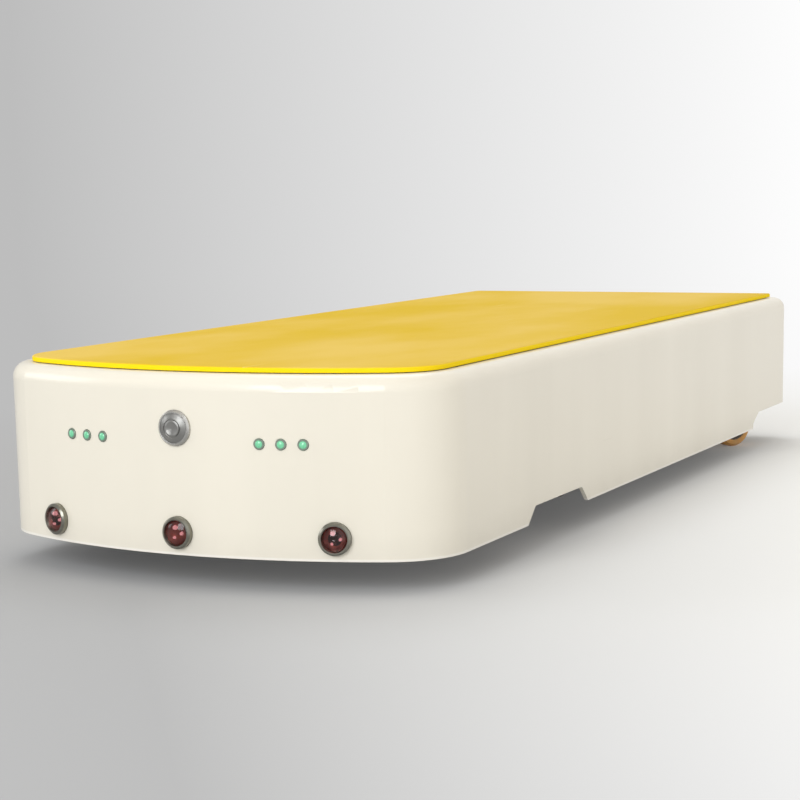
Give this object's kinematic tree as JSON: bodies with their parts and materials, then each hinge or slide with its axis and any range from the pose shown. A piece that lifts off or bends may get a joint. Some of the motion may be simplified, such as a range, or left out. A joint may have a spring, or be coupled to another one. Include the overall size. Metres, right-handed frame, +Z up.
{
  "type": "autonomous mobile robot",
  "caption": "Low wheeled mobile robot with a bowed moulded skirt, swivel casters, sprung drive wheels and a flat lifting deck.",
  "frame": {"origin": "on the floor, under the centre of the overall length and width", "axes": "+Z up, -Y the driving direction (bowed nose), +X the robot's left side"},
  "size_m": [0.5996, 1.5076, 0.251],
  "materials": {
    "shell_cream": "moulded, satin gloss",
    "frame_steel": "powder coat",
    "zinc_steel": "zinc plated",
    "drive_tread": "matte",
    "aluminium": "machined",
    "black_plastic": "matte",
    "battery_case": "textured",
    "contact_brass": "machined",
    "reader_glass": "polished",
    "bezel_metal": "satin",
    "sensor_lens": "polished",
    "lamp_lens": "translucent",
    "deck_yellow": "gloss enamel",
    "ground_steel": "ground",
    "caster_core": "matte",
    "caster_tread": "polyurethane",
    "button_metal": "satin",
    "stop_red": "gloss"
  },
  "bodies": {
    "chassis": {"body_shell": "shell_cream", "deck_seat_ring": "frame_steel", "frame_rails": "frame_steel", "frame_cross_members": "frame_steel", "battery_floor": "frame_steel", "belly_pan": "frame_steel", "frame_brackets": "frame_steel", "caster_plates": "zinc_steel", "caster_bolts": "zinc_steel", "drive_brackets": "frame_steel", "drive_pivot_pins": "zinc_steel", "drive_spring_left": "drive_tread", "drive_spring_right": "drive_tread", "lift_columns": "aluminium", "lift_bushes": "black_plastic", "lift_motors": "black_plastic", "battery_case": "battery_case", "battery_lid": "black_plastic", "battery_terminals": "contact_brass", "control_box": "aluminium", "motor_drivers": "aluminium", "floor_reader": "black_plastic", "floor_reader_window": "reader_glass", "estop_collar": "black_plastic", "tail_switch_bodies": "black_plastic", "charge_contact_block": "black_plastic", "charge_contacts": "contact_brass", "sensor_bezels": "bezel_metal", "sensor_lenses": "sensor_lens", "lamp_bezels": "bezel_metal", "lamp_lenses": "lamp_lens", "button_bezel": "bezel_metal", "nose_fitting_bodies": "black_plastic"},
    "deck": {"deck_plate": "deck_yellow", "deck_frame_tubes": "frame_steel", "lift_rams": "ground_steel"},
    "caster_swivel_front_left": {"caster_fork_front_left": "zinc_steel"},
    "caster_wheel_front_left": {"caster_core_front_left": "caster_core", "caster_tread_front_left": "caster_tread"},
    "caster_swivel_front_right": {"caster_fork_front_right": "zinc_steel"},
    "caster_wheel_front_right": {"caster_core_front_right": "caster_core", "caster_tread_front_right": "caster_tread"},
    "caster_swivel_rear_left": {"caster_fork_rear_left": "zinc_steel"},
    "caster_wheel_rear_left": {"caster_core_rear_left": "caster_core", "caster_tread_rear_left": "caster_tread"},
    "caster_swivel_rear_right": {"caster_fork_rear_right": "zinc_steel"},
    "caster_wheel_rear_right": {"caster_core_rear_right": "caster_core", "caster_tread_rear_right": "caster_tread"},
    "drive_arm_left": {"drive_arm_left": "aluminium", "drive_gearmotor_left": "black_plastic"},
    "drive_wheel_left": {"drive_rim_left": "aluminium", "drive_tread_left": "drive_tread"},
    "drive_arm_right": {"drive_arm_right": "aluminium", "drive_gearmotor_right": "black_plastic"},
    "drive_wheel_right": {"drive_rim_right": "aluminium", "drive_tread_right": "drive_tread"},
    "start_button": {"button_cap": "button_metal"},
    "stop_button": {"estop_button": "stop_red"},
    "power_switch_knob": {"power_knob": "black_plastic"}
  },
  "joints": [
    {"name": "deck_lift", "type": "slide", "parent": "chassis", "child": "deck", "axis": [0, 0, 1], "range_m": [0, 0.04]},
    {"name": "caster_swivel_front_left", "type": "hinge", "parent": "chassis", "child": "caster_swivel_front_left", "pos_m": [0.14, -0.425, 0.09], "axis": [0, 0, 1], "continuous": true},
    {"name": "caster_roll_front_left", "type": "hinge", "parent": "caster_swivel_front_left", "child": "caster_wheel_front_left", "pos_m": [0.14561, -0.39859, 0.035], "axis": [0.9781, -0.2079, 0], "continuous": true},
    {"name": "caster_swivel_front_right", "type": "hinge", "parent": "chassis", "child": "caster_swivel_front_right", "pos_m": [-0.14, -0.425, 0.09], "axis": [0, 0, 1], "continuous": true},
    {"name": "caster_roll_front_right", "type": "hinge", "parent": "caster_swivel_front_right", "child": "caster_wheel_front_right", "pos_m": [-0.13624, -0.39826, 0.035], "axis": [0.9903, -0.1392, 0], "continuous": true},
    {"name": "caster_swivel_rear_left", "type": "hinge", "parent": "chassis", "child": "caster_swivel_rear_left", "pos_m": [0.224, 0.572, 0.09], "axis": [0, 0, 1], "continuous": true},
    {"name": "caster_roll_rear_left", "type": "hinge", "parent": "caster_swivel_rear_left", "child": "caster_wheel_rear_left", "pos_m": [0.23949, 0.59412, 0.035], "axis": [0.8192, -0.5736, 0], "continuous": true},
    {"name": "caster_swivel_rear_right", "type": "hinge", "parent": "chassis", "child": "caster_swivel_rear_right", "pos_m": [-0.224, 0.572, 0.09], "axis": [0, 0, 1], "continuous": true},
    {"name": "caster_roll_rear_right", "type": "hinge", "parent": "caster_swivel_rear_right", "child": "caster_wheel_rear_right", "pos_m": [-0.23234, 0.59768, 0.035], "axis": [0.9511, 0.309, 0], "continuous": true},
    {"name": "drive_arm_left", "type": "hinge", "parent": "chassis", "child": "drive_arm_left", "pos_m": [0.121, 0.15, 0.075], "axis": [1, 0, 0], "range_deg": [-3, 3], "stiffness_Nm_per_rad": 312, "springref_deg": 3.72, "deforming": ["drive_spring_left"]},
    {"name": "drive_wheel_left", "type": "hinge", "parent": "drive_arm_left", "child": "drive_wheel_left", "pos_m": [0.15, 0, 0.075], "axis": [1, 0, 0], "continuous": true},
    {"name": "drive_arm_right", "type": "hinge", "parent": "chassis", "child": "drive_arm_right", "pos_m": [-0.121, 0.15, 0.075], "axis": [1, 0, 0], "range_deg": [-3, 3], "stiffness_Nm_per_rad": 312, "springref_deg": 3.72, "deforming": ["drive_spring_right"]},
    {"name": "drive_wheel_right", "type": "hinge", "parent": "drive_arm_right", "child": "drive_wheel_right", "pos_m": [-0.15, 0, 0.075], "axis": [1, 0, 0], "continuous": true},
    {"name": "start_button_press", "type": "slide", "parent": "chassis", "child": "start_button", "axis": [0, 1, 0], "range_m": [0, 0.0035], "stiffness_N_per_m": 1200, "springref_m": -0.001},
    {"name": "stop_button_press", "type": "slide", "parent": "chassis", "child": "stop_button", "axis": [0, -1, 0], "range_m": [0, 0.004], "stiffness_N_per_m": 2500, "springref_m": -0.001},
    {"name": "power_switch_turn", "type": "hinge", "parent": "chassis", "child": "power_switch_knob", "pos_m": [-0.08, 0.7333, 0.166], "axis": [0, 1, 0], "range_deg": [0, 90]}
  ]
}
